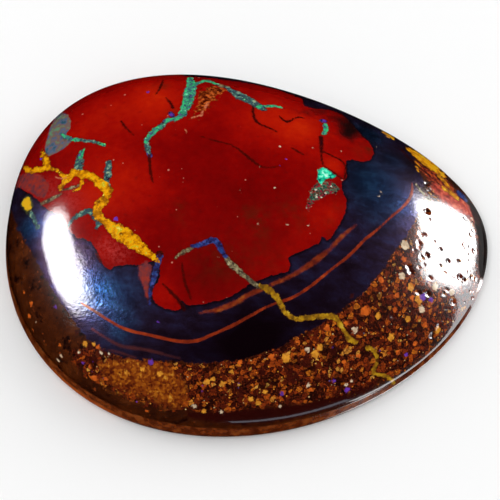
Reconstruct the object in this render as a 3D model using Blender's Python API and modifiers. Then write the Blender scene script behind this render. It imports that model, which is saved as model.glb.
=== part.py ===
"""A polished boulder opal cut as a freeform pear cabochon: one solid stone.

The stone lies on its flat sawn back. +X points to the narrow end, +Z is up, and the origin is
the middle of the back. All sizes are in metres.
"""

import math

import bpy

MM = 0.001

# Driving dimensions of the finished stone
LENGTH = 34.0 * MM
WIDTH = 27.3 * MM
HEIGHT = 7.2 * MM

# Outline of the pear, as shares of half the length
HALF_WIDTH_SHARE = 0.804
TAPER = 0.154
BELLY = 0.149
BEND = -0.108
# The outline is a little squared, in four soft corners round the edge
CORNERS = 4
CORNER_DEPTH = 0.025
CORNER_TOWARDS = math.radians(43.2)

# Dome: a round shoulder at the broad end, a steadier slope with a crisp edge at the narrow end
SHOULDER = 0.60
SHOULDER_SLOPE = 0.26
SHOULDER_CURVE = 0.14
APEX_SHIFT = 0.04

# Girdle: the upright band between the dome's edge and the back, lower at the narrow end
GIRDLE = 1.50 * MM
GIRDLE_SLOPE = 0.38 * MM
GIRDLE_CURVE = 0.62 * MM
GIRDLE_FLARE = 0.012
FOOT_BEVEL = 0.38 * MM

# Facets
SEGMENTS = 96
DOME_RINGS = 24
SAME_HEIGHT = 1e-7


def remove_everything():
    """Clears the scene and leaves the file open."""
    for old in list(bpy.data.objects):
        bpy.data.objects.remove(old, do_unlink=True)


def blank_profile():
    """The blank's outer side from the top of the dome to the middle of the back: (radius, height)."""
    radius = LENGTH / 2
    quarter = math.pi / 2
    dome = [
        (
            radius * math.sin(quarter * ring / DOME_RINGS),
            GIRDLE + (HEIGHT - GIRDLE) * math.cos(quarter * ring / DOME_RINGS),
        )
        for ring in range(DOME_RINGS + 1)
    ]
    foot = radius * (1 + GIRDLE_FLARE)
    girdle_and_back = [
        (foot, FOOT_BEVEL),
        (foot - FOOT_BEVEL, 0.0),
        (0.0, 0.0),
    ]
    return dome + girdle_and_back


def turned_blank(name):
    """Turns the profile into a round domed blank, as a preform is ground before it is shaped."""
    profile = blank_profile()
    mesh = bpy.data.meshes.new(name)
    mesh.from_pydata(
        [(radius, 0.0, height) for radius, height in profile],
        [(i, i + 1) for i in range(len(profile) - 1)],
        [],
    )
    blank = bpy.data.objects.new(name, mesh)
    bpy.context.scene.collection.objects.link(blank)
    screw = blank.modifiers.new("turn", "SCREW")
    screw.axis = "Z"
    screw.angle = 2 * math.pi
    screw.steps = SEGMENTS
    screw.render_steps = SEGMENTS
    screw.use_merge_vertices = True
    screw.merge_threshold = 1e-6
    return blank


def pear(u, v):
    """Carries a point of the unit disc to the pear outline, in half-lengths."""
    x = u
    y = HALF_WIDTH_SHARE * v * (1 - TAPER * u - BELLY * u * u) + BEND * (1 - u * u)
    angle = CORNERS * (math.atan2(v, u) - CORNER_TOWARDS)
    reach = 1 + CORNER_DEPTH * math.hypot(u, v) ** CORNERS * math.cos(angle)
    return x * reach, y * reach


def girdle_height(u):
    """Height of the dome's edge above the back."""
    return GIRDLE - GIRDLE_SLOPE * u - GIRDLE_CURVE * u * u


def ground_point(point):
    """Where a point of the round blank lies once the stone is ground to shape."""
    radius = LENGTH / 2
    u = point.x / radius
    v = point.y / radius
    x, y = pear(u, v)
    z = point.z
    if z > GIRDLE - SAME_HEIGHT:
        edge = girdle_height(u)
        inside = max(0.0, 1 - u * u - v * v)
        swell = inside ** (SHOULDER + SHOULDER_SLOPE * u + SHOULDER_CURVE * u * u)
        z = edge + (HEIGHT - edge) * swell * (1 - APEX_SHIFT * u)
    return x * radius, y * radius, z


def trim(mesh):
    """Scales the ground stone to the driving dimensions, with its back's middle at the origin."""
    low = [min(v.co[i] for v in mesh.vertices) for i in range(3)]
    high = [max(v.co[i] for v in mesh.vertices) for i in range(3)]
    middle = ((low[0] + high[0]) / 2, (low[1] + high[1]) / 2, low[2])
    for vertex in mesh.vertices:
        for axis, size in enumerate((LENGTH, WIDTH, HEIGHT)):
            share = (vertex.co[axis] - middle[axis]) / (high[axis] - low[axis])
            vertex.co[axis] = share * size


def ground_stone(blank, name):
    """Shapes the blank into the pear cabochon and smooths all but its edges."""
    evaluated = blank.evaluated_get(bpy.context.evaluated_depsgraph_get())
    mesh = bpy.data.meshes.new_from_object(evaluated)
    mesh.name = name
    bpy.data.objects.remove(blank, do_unlink=True)
    for vertex in mesh.vertices:
        vertex.co = ground_point(vertex.co)
    trim(mesh)
    mesh.shade_smooth()
    mesh.set_sharp_from_angle(angle=math.radians(40))
    return mesh


def polished_ironstone():
    """Ironstone with red jasper and opal, polished, as one average colour."""
    material = bpy.data.materials.new("polished_boulder_opal")
    material.use_nodes = True
    shader = material.node_tree.nodes["Principled BSDF"]
    shader.inputs["Base Color"].default_value = (0.20, 0.035, 0.02, 1.0)
    shader.inputs["Roughness"].default_value = 0.12
    shader.inputs["Metallic"].default_value = 0.0
    return material


def main():
    remove_everything()
    stone = bpy.data.collections.new("boulder_opal")
    bpy.context.scene.collection.children.link(stone)
    mesh = ground_stone(turned_blank("blank"), "opal_cabochon")
    mesh.materials.append(polished_ironstone())
    cabochon = bpy.data.objects.new("opal_cabochon", mesh)
    stone.objects.link(cabochon)


main()
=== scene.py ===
# %% [markdown]
# # A polished boulder opal, dressed over its solid
#
# The object is one stone: a freeform pear cabochon cut from boulder opal. Opal grew here in the
# cracks of red jasper and brown ironstone, so a red patch, a navy one and a sandy one meet under one
# polish, with green and yellow opal veins and thin orange seams between them.
#
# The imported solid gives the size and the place. This script makes a much finer skin for it, marks
# every vertex with how far it lies inside each marking, and lets one material turn those marks
# into colour.

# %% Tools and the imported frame
import math

import bpy
import numpy as np
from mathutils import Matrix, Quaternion, Vector, noise
from mathutils.bvhtree import BVHTree


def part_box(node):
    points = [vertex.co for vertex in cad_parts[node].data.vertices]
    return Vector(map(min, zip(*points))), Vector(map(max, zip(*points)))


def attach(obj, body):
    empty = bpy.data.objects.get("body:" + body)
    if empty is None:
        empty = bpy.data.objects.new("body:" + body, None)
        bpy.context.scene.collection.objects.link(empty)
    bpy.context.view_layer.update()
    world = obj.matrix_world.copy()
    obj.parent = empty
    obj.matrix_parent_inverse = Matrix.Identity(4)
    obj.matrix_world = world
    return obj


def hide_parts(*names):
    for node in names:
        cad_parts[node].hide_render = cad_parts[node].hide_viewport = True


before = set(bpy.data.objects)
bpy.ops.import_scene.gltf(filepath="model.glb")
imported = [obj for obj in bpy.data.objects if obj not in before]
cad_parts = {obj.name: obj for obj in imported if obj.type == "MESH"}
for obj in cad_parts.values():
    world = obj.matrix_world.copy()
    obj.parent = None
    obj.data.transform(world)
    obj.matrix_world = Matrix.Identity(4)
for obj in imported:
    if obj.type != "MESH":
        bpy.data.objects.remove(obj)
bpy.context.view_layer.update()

MM = 0.001
low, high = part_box("opal_cabochon")
LENGTH, WIDTH, HEIGHT = (top - bottom for bottom, top in zip(low, high))
print(f"stone: {LENGTH / MM:.1f} x {WIDTH / MM:.1f} x {HEIGHT / MM:.1f} mm")

# %% [markdown]
# ## The blank
#
# A cabochon starts as a flat slab. A disc of triangles that meet in the middle would leave a pole
# on top of the dome, just where the polish shows every dent. So the disc's face is filled with a
# grid of squares, and the wall and the foot are extruded from its edge.
#
# The back is flat, so it needs few faces. It is a second, coarser disc, and the two are bridged.

# %% A disc with a face of squares
FACE_ROWS = 280
BACK_ROWS = 70
BACK_RADIUS = 0.97
STEP_DOWN = 0.1


def select_open_edge():
    """Selects the loop round the open side of the mesh in edit mode."""
    bpy.ops.mesh.select_mode(type="EDGE")
    bpy.ops.mesh.select_all(action="DESELECT")
    bpy.ops.mesh.select_non_manifold()


bpy.ops.object.select_all(action="DESELECT")
bpy.ops.mesh.primitive_circle_add(vertices=4 * FACE_ROWS, radius=1.0)
stone = bpy.context.object
stone.name = stone.data.name = "polished_stone"
bpy.ops.object.mode_set(mode="EDIT")
bpy.ops.mesh.select_all(action="SELECT")
bpy.ops.mesh.fill_grid(span=FACE_ROWS)
print("face:", len(bpy.context.object.data.vertices), "vertices to start with")

# %% [markdown]
# The side of the stone is a stack of rings. Each is one extrude straight down, a tenth of a unit
# apart, so that its number can be read back from its height. Their real places come later, from
# one list.

# %% Rings for the edge, the wall and the foot
EDGE_RINGS = 4
WALL_RINGS = 5
FOOT_RINGS = 3
RINGS = EDGE_RINGS + WALL_RINGS + FOOT_RINGS

select_open_edge()
for ring in range(RINGS):
    bpy.ops.mesh.extrude_region_move(TRANSFORM_OT_translate={"value": (0, 0, -STEP_DOWN)})
bpy.ops.object.mode_set(mode="OBJECT")
print("side:", RINGS, "rings")

# %% The coarse back, bridged to the foot
bpy.ops.mesh.primitive_circle_add(
    vertices=4 * BACK_ROWS, radius=BACK_RADIUS, location=(0, 0, -STEP_DOWN * (RINGS + 1))
)
bpy.ops.object.mode_set(mode="EDIT")
bpy.ops.mesh.select_all(action="SELECT")
bpy.ops.mesh.fill_grid(span=BACK_ROWS)
bpy.ops.object.mode_set(mode="OBJECT")
stone.select_set(True)
bpy.context.view_layer.objects.active = stone
bpy.ops.object.join()
bpy.ops.object.mode_set(mode="EDIT")
select_open_edge()
bpy.ops.mesh.bridge_edge_loops()
bpy.ops.mesh.select_all(action="SELECT")
bpy.ops.mesh.normals_make_consistent(inside=False)
bpy.ops.object.mode_set(mode="OBJECT")
mesh = stone.data
print("blank:", len(mesh.vertices), "vertices,", len(mesh.polygons), "faces")

# %% [markdown]
# ## Grinding it to shape
#
# A cutter grinds the outline first and then the dome. The code does the same to all vertices at
# once, with the same few values as the solid: a pear outline, a dome whose shoulder is rounder at
# the broad end, and a low upright girdle. Moving vertices with a formula is the sculpting here,
# because the operators have no tool for such a curve.

# %% The outline of the pear
HALF_WIDTH_SHARE = 0.804
TAPER = 0.154
BELLY = 0.149
BEND = -0.108
CORNERS = 4
CORNER_DEPTH = 0.025
CORNER_TOWARDS = math.radians(43.2)


def pear(u, v):
    """Carries points of the unit disc to the pear outline, in half-lengths."""
    y = HALF_WIDTH_SHARE * v * (1 - TAPER * u - BELLY * u * u) + BEND * (1 - u * u)
    angle = CORNERS * (np.arctan2(v, u) - CORNER_TOWARDS)
    reach = 1 + CORNER_DEPTH * np.hypot(u, v) ** CORNERS * np.cos(angle)
    return u * reach, y * reach


print(f"pear: the narrow end reaches {pear(1.0, 0.0)[0]:.3f} half-lengths")

# %% The dome and the girdle
SHOULDER = 0.60
SHOULDER_SLOPE = 0.26
SHOULDER_CURVE = 0.14
APEX_SHIFT = 0.04
GIRDLE = 1.50 * MM
GIRDLE_SLOPE = 0.38 * MM
GIRDLE_CURVE = 0.62 * MM
GIRDLE_FLARE = 0.012
FOOT_BEVEL = 0.38 * MM


def girdle_height(u):
    """Height of the dome's edge above the back."""
    return GIRDLE - GIRDLE_SLOPE * u - GIRDLE_CURVE * u * u


def dome_height(u, v):
    """Height of the dome over a point of the unit disc."""
    edge = girdle_height(u)
    inside = np.maximum(0.0, 1 - u * u - v * v)
    swell = inside ** (SHOULDER + SHOULDER_SLOPE * u + SHOULDER_CURVE * u * u)
    return edge + (HEIGHT - edge) * swell * (1 - APEX_SHIFT * u)


print(f"girdle: {girdle_height(0) / MM:.2f} mm high in the middle")

# %% [markdown]
# The dome falls steeply near its edge, so evenly spaced rows of the disc would be far apart there.
# They are moved outwards until they are evenly spaced along the dome itself.

# %% Rows evenly spaced over the dome
SAMPLES = 400
reach = np.sin(np.linspace(0, math.pi / 2, SAMPLES))
fall = dome_height(np.zeros(SAMPLES), reach)
steps = np.hypot(np.diff(reach) * math.sqrt(LENGTH * WIDTH) / 2, np.diff(fall))
walked = np.concatenate([[0], np.cumsum(steps)])
walked /= walked[-1]

points = np.empty(len(mesh.vertices) * 3)
mesh.vertices.foreach_get("co", points)
points = points.reshape(-1, 3)
radius = np.hypot(points[:, 0], points[:, 1])
ring = np.rint(-points[:, 2] / STEP_DOWN).astype(int)
on_face = ring == 0
on_back = ring > RINGS
spread = np.where(on_face, np.interp(radius, walked, reach) / np.maximum(radius, 1e-9), 1.0)
u = points[:, 0] * spread
v = points[:, 1] * spread
last_row = np.interp(1 - 2 / FACE_ROWS, walked, reach)
print(f"rows at the edge: {(1 - last_row) * LENGTH / 2 / MM:.3f} mm apart in plan")

# %% Every ring in its place
share_down = np.clip(ring / (EDGE_RINGS + WALL_RINGS), 0, 1)
foot_turn = np.clip((ring - EDGE_RINGS - WALL_RINGS) / FOOT_RINGS, 0, 1)
flare = 1 + GIRDLE_FLARE * share_down
foot_pull = 1 - 2 * FOOT_BEVEL / LENGTH * (1 - np.cos(foot_turn * math.pi / 2))
edge = girdle_height(u)
wall = edge + (FOOT_BEVEL - edge) * share_down
foot = FOOT_BEVEL * (1 - np.sin(foot_turn * math.pi / 2))
height = np.where(on_face, dome_height(u, v), np.where(foot_turn > 0, foot, wall))
height = np.where(on_back, 0.0, height)
outward = np.where(on_face | on_back, 1.0, flare * foot_pull)
x, y = pear(u * outward, v * outward)
ground = np.stack([x, y, height], axis=1)
print(f"flare of the girdle: {(flare.max() - 1) * 100:.1f} percent")

# %% Trimmed to the size of the solid
lowest, highest = ground.min(axis=0), ground.max(axis=0)
ground = (ground - lowest) / (highest - lowest) * (LENGTH, WIDTH, HEIGHT) + np.array(low)
mesh.vertices.foreach_set("co", ground.ravel())
mesh.update()
print("ground to", [round(float(side) / MM, 2) for side in ground.max(axis=0) - ground.min(axis=0)], "mm")

# %% [markdown]
# ## The camera
#
# The markings are read from the photograph, so its camera comes before them. It stands high in
# front of the stone. A long lens keeps the outline nearly free of perspective.

# %% The photograph's camera
CAMERA_AZIMUTH = math.radians(6.34)
CAMERA_ELEVATION = math.radians(64)
CAMERA_DISTANCE = 173.5 * MM
LOOKS_AT = Vector((0.462, -0.572, 3.0)) * MM
LENS = 180
SENSOR = 36
PHOTO_SIDE = 500

away = Vector((
    math.sin(CAMERA_AZIMUTH) * math.cos(CAMERA_ELEVATION),
    -math.cos(CAMERA_AZIMUTH) * math.cos(CAMERA_ELEVATION),
    math.sin(CAMERA_ELEVATION),
))
bpy.ops.object.camera_add(location=LOOKS_AT + away * CAMERA_DISTANCE)
camera = bpy.context.object
camera.name = "studio_camera"
camera.rotation_euler = away.to_track_quat("Z", "Y").to_euler()
camera.data.lens = LENS
camera.data.sensor_width = SENSOR
camera.data.clip_start = 10 * MM
bpy.context.scene.camera = camera
bpy.context.view_layer.update()
PIXELS_PER_MM = LENS / SENSOR * PHOTO_SIDE * MM / CAMERA_DISTANCE
print(f"camera: {PIXELS_PER_MM:.2f} pixels a mm at the stone")

# %% [markdown]
# ## From the photograph to the stone
#
# A marking is a short list of pixels. A ray through a pixel finds the place on the
# stone, so the marking is laid on the real curve of the dome and stays there from any side. A
# pixel beside the stone falls on the level of the girdle, which lets an area run on over the edge.

# %% Where a pixel lies on the stone
skin = BVHTree.FromPolygons(
    [Vector(p) for p in ground], [tuple(face.vertices) for face in mesh.polygons]
)
eye = camera.matrix_world.translation


def on_stone(across, down):
    """The point of the stone that the photograph shows at a pixel, in mm."""
    side = SENSOR / LENS / PHOTO_SIDE
    turn = camera.matrix_world.to_3x3()
    aim = turn @ Vector(((across - PHOTO_SIDE / 2) * side, (PHOTO_SIDE / 2 - down) * side, -1))
    hit = skin.ray_cast(eye, aim)[0]
    if hit is None:
        hit = eye + aim * ((GIRDLE - eye.z) / aim.z)
    return np.array(hit) / MM


print("middle of the photograph:", on_stone(PHOTO_SIDE / 2, PHOTO_SIDE / 2).round(2), "mm")

# %% Measuring how deep each vertex lies in a marking
surface = ground / MM
plan = surface[:, :2]
FAR = 9.0
STRIDE = 5


def draped(path):
    """A path of (across, down, width in pixels) laid on the stone: points and half-widths in mm."""
    path = np.array(path, dtype=float)
    lengths = np.hypot(*np.diff(path[:, :2], axis=0).T)
    stops = np.concatenate([[0], np.cumsum(lengths)])
    count = max(2, int(stops[-1] / STRIDE) + 1)
    at = np.linspace(0, stops[-1], count)
    dense = np.stack([np.interp(at, stops, path[:, i]) for i in range(3)], axis=1)
    if count > 4:
        dense[1:-1, :2] = (dense[:-2, :2] + 2 * dense[1:-1, :2] + dense[2:, :2]) / 4
    laid = np.array([on_stone(across, down) for across, down, _ in dense])
    return laid, dense[:, 2] / PIXELS_PER_MM / 2


def vein_depth(paths):
    """How deep each vertex lies inside a set of veins, in mm: above 0 inside, below 0 outside."""
    depth = np.full(len(surface), -FAR)
    for path in paths:
        laid, half = draped(path)
        for start, end, wide, wide_end in zip(laid, laid[1:], half, half[1:]):
            run = end - start
            along = np.clip((surface - start) @ run / max(run @ run, 1e-9), 0, 1)
            gap = np.linalg.norm(surface - start - along[:, None] * run, axis=1)
            depth = np.maximum(depth, wide + (wide_end - wide) * along - gap)
    return depth


def area_depth(outlines):
    """The same for closed outlines, given as (across, down) pixels."""
    depth = np.full(len(plan), -FAR)
    for outline in outlines:
        corners = np.array([on_stone(*pixel)[:2] for pixel in outline])
        inside = np.zeros(len(plan), dtype=bool)
        gap = np.full(len(plan), FAR)
        for start, end in zip(corners, np.roll(corners, -1, axis=0)):
            run = end - start
            along = np.clip((plan - start) @ run / max(run @ run, 1e-9), 0, 1)
            gap = np.minimum(gap, np.linalg.norm(plan - start - along[:, None] * run, axis=1))
            crosses = (start[1] > plan[:, 1]) != (end[1] > plan[:, 1])
            rise = run[1] if abs(run[1]) > 1e-9 else 1e-9
            inside ^= crosses & (plan[:, 0] < start[0] + run[0] * (plan[:, 1] - start[1]) / rise)
        depth = np.maximum(depth, np.where(inside, gap, -gap))
    return depth


def spot_glow(spots):
    """Soft round spots, given as (across, down, radius in pixels, strength), added up."""
    glow = np.zeros(len(surface))
    for across, down, size, strength in spots:
        gap = np.linalg.norm(surface - on_stone(across, down), axis=1)
        glow += strength * np.exp(-((gap * PIXELS_PER_MM / size) ** 2))
    return glow


def mark(name, values):
    """Keeps one number for each vertex, for the material to read."""
    kept = mesh.attributes.new(name, "FLOAT", "POINT")
    kept.data.foreach_set("value", values.astype(np.float32))
    print(f"{name}: {int((values > 0).sum())} vertices inside")


# %% [markdown]
# ## The large areas
#
# The stone has two halves. Above a line that sweeps from the left edge down, along and up to the
# right lies the opal side: red jasper in dark navy potch, which is opal without play of colour.
# Below the line lies the ironstone side: brown and smooth on the left, coarse sand on the right,
# and a patch of fine golden sand between them.

# %% Opal side and ironstone side
OPAL_SIDE = [
    (-60, 190), (8, 197), (13, 215), (18, 230), (27, 244), (37, 262), (48, 282), (58, 298),
    (70, 316), (80, 330), (92, 342), (106, 351), (120, 356), (135, 359), (150, 360), (165, 361),
    (180, 361), (195, 363), (215, 361), (235, 361), (250, 358), (262, 353), (282, 347), (293, 338),
    (306, 332), (320, 325), (328, 318), (340, 312), (350, 303), (358, 297), (366, 291), (371, 282),
    (380, 273), (386, 267), (389, 258), (395, 251), (402, 241), (407, 235), (413, 225), (419, 211),
    (422, 200), (424, 188), (423, 178), (418, 170), (415, 160), (409, 150), (420, 120), (520, 60),
    (400, -40), (100, -40), (-60, 60),
]
mark("opal_side", area_depth([OPAL_SIDE]))

# %% Red jasper
RED_JASPER = [
    (-40, 196), (-40, 100), (50, 40), (110, 30), (160, 40), (174, 66), (184, 76), (198, 77),
    (212, 78), (224, 80), (240, 82), (256, 85), (275, 89), (292, 95), (302, 99), (304, 106),
    (316, 109), (330, 110), (341, 114), (350, 121), (357, 130), (362, 136),
    (368, 141), (373, 148), (374, 154), (370, 160), (362, 162), (352, 160), (346, 160), (346, 168),
    (347, 178), (342, 182), (342, 190), (346, 198), (347, 205), (345, 213), (341, 222), (336, 230),
    (331, 238), (327, 241), (322, 235), (319, 243), (310, 247), (302, 251), (294, 254), (288, 258),
    (290, 266), (288, 272), (280, 273), (270, 276), (260, 280), (250, 284), (242, 289), (234, 295),
    (222, 300), (208, 303), (196, 305), (187, 305), (183, 301), (180, 301), (181, 308), (176, 311),
    (167, 309), (159, 306), (154, 301), (152, 294), (153, 287), (158, 283), (160, 275), (160, 266),
    (158, 260), (150, 262), (140, 265), (125, 265), (114, 266), (111, 270), (107, 269), (103, 264),
    (99, 256), (96, 249), (91, 242), (84, 239), (77, 238), (66, 226), (56, 214), (44, 207),
    (38, 200), (32, 195), (24, 191), (14, 187),
]
mark("red", area_depth([RED_JASPER]))

# %% Coarse sand and fine golden sand
COARSE_SAND = [
    (72, 352), (84, 343), (98, 343), (110, 350), (122, 358), (150, 362), (165, 361), (195, 365),
    (215, 362), (235, 361), (250, 358), (262, 352), (282, 346), (293, 338), (306, 331), (320, 325),
    (328, 318), (340, 312), (350, 303), (358, 297), (366, 291), (371, 282), (380, 273), (386, 267),
    (389, 258), (395, 251), (402, 241), (407, 235), (413, 225), (419, 211), (422, 200), (424, 188),
    (429, 181), (437, 190), (455, 204), (468, 216), (476, 228), (482, 244), (500, 262), (500, 310),
    (471, 303), (451, 327), (433, 348), (409, 366), (393, 376), (372, 387), (355, 394), (340, 399),
    (314, 402), (290, 405), (270, 407), (250, 409), (230, 413), (205, 414), (190, 411), (170, 409),
    (150, 406), (130, 399), (112, 390), (98, 383), (84, 374), (74, 363),
]
GOLDEN_SAND = [
    (105, 360), (118, 357), (132, 359), (148, 361), (160, 362), (170, 367), (178, 373), (184, 380),
    (188, 388), (186, 397), (182, 405), (172, 406), (158, 403), (146, 397), (134, 394), (122, 390),
    (112, 386), (106, 377), (101, 368),
]
mark("coarse_sand", area_depth([COARSE_SAND]))
mark("golden_sand", area_depth([GOLDEN_SAND]))

# %% Small areas: potch, emerald opal and a mottled scar
POTCH = [
    (62, 113), (68, 115), (71, 121), (70, 129), (66, 134), (72, 141), (66, 147), (58, 152),
    (50, 156), (45, 155), (45, 146), (48, 136), (50, 128), (54, 121), (58, 112), (60, 106),
]
EMERALD = [
    (318, 170), (323, 167), (329, 170), (337, 176), (332, 179), (326, 179), (321, 185), (317, 180),
]
SCAR = [
    (319, 182), (328, 181), (336, 184), (339, 190), (335, 194), (328, 194), (321, 198), (314, 202),
    (309, 210), (306, 208), (308, 199), (311, 190), (315, 185),
]
DUSKY = [(20, 176), (30, 172), (42, 176), (50, 186), (44, 198), (36, 196), (26, 190), (16, 188)]
BROWN_WEDGE = [
    (138, 266), (147, 261), (151, 266), (150, 282), (149, 302), (146, 296), (143, 285), (138, 275),
]
SCORCHED = [
    (198, 90), (206, 87), (214, 85), (224, 87), (227, 91), (220, 97), (213, 104), (207, 111),
    (200, 117), (190, 121), (195, 111), (197, 101),
]
mark("potch", area_depth([POTCH]))
mark("emerald", area_depth([EMERALD]))
mark("scar", area_depth([SCAR]))
mark("wedge", area_depth([BROWN_WEDGE, DUSKY]))
mark("scorched", area_depth([SCORCHED]))

# %% [markdown]
# ## Veins and seams
#
# Each vein is a path of pixels with its width at each. Green and yellow ones are precious opal that
# filled cracks, the orange seams are thin layers of iron, and the dark ones are cracks that stayed
# open.

# %% Opal veins
GREEN_VEINS = [
    [(190, 78, 6), (192, 84, 10), (190, 92, 12), (188, 100, 11), (186, 108, 9), (183, 114, 7),
     (178, 120, 5), (171, 119, 4.5), (166, 121, 6)],
    [(194, 85, 6), (199, 82, 5), (206, 80, 5), (212, 81, 5), (216, 84, 4)],
    [(160, 127, 6), (154, 131, 6), (148, 136, 6), (146, 142, 5)],
    [(258, 107, 5), (266, 106, 5), (275, 106, 4), (283, 108, 3)],
    [(62, 134, 2), (66, 138, 4), (71, 139, 5), (79, 140, 4)],
    [(98, 143, 3), (104, 145, 4)],
    [(80, 158, 4), (81, 153, 5), (84, 149, 3)],
    [(325, 125, 5), (326, 130, 5), (323, 134, 4)],
]
TEAL_VEINS = [
    [(228, 88, 5), (235, 93, 10), (243, 98, 13), (251, 101, 11), (257, 106, 10), (263, 109, 6)],
    [(78, 171, 9), (79, 163, 9), (80, 156, 6)],
    [(106, 188, 6), (107, 180, 7), (108, 172, 7), (109, 163, 6)],
    [(68, 226, 2), (74, 218, 4), (82, 213, 6), (91, 210, 6), (96, 216, 8), (100, 222, 7), (97, 228, 3)],
    [(167, 121, 5), (161, 127, 6), (155, 131, 5)],
    [(146, 141, 5), (147, 148, 6), (149, 153, 4)],
    [(80, 140, 4), (90, 141, 4), (98, 143, 3)],
    [(31, 213, 5), (35, 221, 5), (38, 228, 3)],
    [(193, 82, 3), (186, 95, 4), (183, 108, 3)],
]
YELLOW_VEINS = [
    [(24, 168, 5), (30, 172, 6), (37, 170, 6), (44, 168, 6), (50, 168, 3), (57, 169, 3), (62, 174, 3),
     (66, 178, 5)],
    [(42, 151, 4), (45, 158, 7), (47, 164, 7), (49, 168, 5)],
    [(60, 188, 6), (64, 183, 6), (68, 177, 8), (73, 173, 9), (80, 172, 9), (87, 175, 8), (93, 179, 8),
     (100, 183, 10), (106, 187, 10), (109, 192, 9), (106, 198, 9), (100, 204, 10), (96, 210, 9),
     (98, 217, 7), (103, 221, 5)],
    [(82, 178, 3), (83, 183, 4), (79, 188, 3), (74, 191, 2.5)],
    [(106, 222, 6), (112, 228, 12), (121, 233, 16), (131, 239, 15), (138, 245, 12), (145, 251, 8),
     (151, 256, 6), (158, 261, 4)],
    [(409, 149, 8), (415, 153, 17), (422, 158, 23), (430, 164, 23), (437, 169, 17), (443, 175, 8)],
    [(385, 133, 7), (389, 135, 9), (393, 139, 4)],
    [(415, 161, 3), (419, 166, 6), (417, 170, 3)],
    [(440, 177, 6), (445, 182, 8), (448, 187, 4)],
    [(445, 189, 7), (451, 193, 8), (457, 197, 6)],
]
AMBER_VEINS = [
    [(261, 286, 5), (266, 288, 7), (272, 292, 6), (278, 298, 6), (281, 305, 5), (285, 312, 5),
     (289, 317, 5.5), (296, 319, 5), (304, 318, 5), (315, 317, 5), (326, 316, 5), (334, 315, 5),
     (338, 320, 4.5), (341, 326, 4), (345, 332, 4), (348, 338, 5), (351, 342, 6), (357, 342, 4)],
    [(366, 348, 4), (370, 347, 4), (375, 351, 4), (378, 358, 3), (377, 365, 3.5), (373, 370, 5),
     (372, 374, 4), (380, 375, 3.5), (387, 375, 3.5), (391, 379, 4), (394, 384, 4)],
]
BLUE_VEINS = [
    [(160, 256, 6), (158, 262, 5), (156, 268, 6), (155, 276, 6), (152, 283, 5), (150, 292, 3), (150, 304, 3)],
    [(192, 246, 3), (198, 246, 5), (206, 243, 5), (212, 239, 6), (216, 239, 6), (219, 246, 6),
     (222, 252, 5), (226, 257, 4)],
    [(170, 113, 4), (173, 116, 5)],
    [(148, 152, 4), (150, 156, 4)],
    [(322, 121, 5), (325, 121, 5)],
    [(460, 194, 10), (465, 199, 8)],
]
GREY_VEINS = [
    [(175, 258, 2), (180, 253, 3.5), (186, 251, 4), (193, 248, 3)],
    [(226, 257, 4), (229, 263, 6), (233, 266, 6), (239, 271, 5), (246, 277, 4), (253, 283, 4), (260, 287, 4)],
    [(216, 84, 4), (221, 86, 6), (228, 87, 4)],
    [(41, 204, 3), (50, 200, 4), (61, 194, 2)],
    [(62, 190, 2), (72, 188, 3), (79, 185, 2)],
    [(424, 202, 3), (428, 198, 4), (432, 203, 3)],
    [(416, 184, 3), (420, 190, 4), (424, 194, 3)],
]
mark("green", vein_depth(GREEN_VEINS))
mark("teal", vein_depth(TEAL_VEINS))
mark("yellow", vein_depth(YELLOW_VEINS))
mark("amber", vein_depth(AMBER_VEINS))
mark("blue", vein_depth(BLUE_VEINS))
mark("grey", vein_depth(GREY_VEINS))

# %% Orange seams
ORANGE_SEAM = [
    (81, 303, 2), (96, 312, 2.5), (108, 320, 2.5), (120, 327, 3), (134, 332, 3), (150, 335, 3),
    (166, 339, 3), (182, 342, 3.5), (198, 341, 3.5), (209, 336, 3), (223, 330, 3), (236, 324, 3.5),
    (250, 316, 3), (264, 308, 2.5), (276, 303, 2.5), (287, 300, 3), (298, 295, 3), (311, 286, 3),
    (322, 277, 3), (333, 268, 2.5), (344, 260, 3), (354, 251, 3), (365, 239, 3), (376, 231, 3),
    (381, 226, 2), (387, 221, 2), (393, 215, 2.5), (400, 210, 2.5), (406, 204, 3), (411, 197, 3),
    (413, 190, 3), (412, 183, 2),
]
ORANGE_BAND = [
    (198, 313, 1), (212, 311, 4), (226, 307, 5), (239, 301, 5), (247, 295, 5), (260, 290, 4),
    (271, 285, 3), (285, 279, 4), (298, 272, 4.5), (311, 264, 6), (320, 257, 6), (328, 251, 4),
    (335, 244, 4), (343, 235, 4), (350, 230, 3), (356, 225, 2),
]
RUST_STREAKS = [
    [(416, 161, 3), (421, 167, 8), (427, 173, 12), (432, 179, 10)],
    [(430, 172, 12), (438, 179, 22), (447, 187, 20), (455, 194, 12)],
]
CORAL_STREAKS = [
    [(437, 188, 14), (443, 194, 22), (452, 200, 24), (462, 206, 22), (471, 213, 18), (478, 221, 10)],
]
FAINT_SEAMS = [
    [(92, 329, 2), (98, 333, 2), (106, 338, 2.5), (114, 343, 3), (124, 347, 3.5), (134, 348, 3),
     (144, 349, 2.5), (156, 352, 2.5), (164, 354, 2.5), (172, 357, 2), (180, 358, 1.5)],
    [(108, 350, 1.5), (120, 352, 2), (128, 356, 2), (136, 358, 1.5)],
]
mark("seam", vein_depth([ORANGE_SEAM]))
mark("band", vein_depth([ORANGE_BAND]))
mark("rust", vein_depth(RUST_STREAKS))
mark("coral", vein_depth(CORAL_STREAKS))
mark("faint", vein_depth(FAINT_SEAMS))

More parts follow.
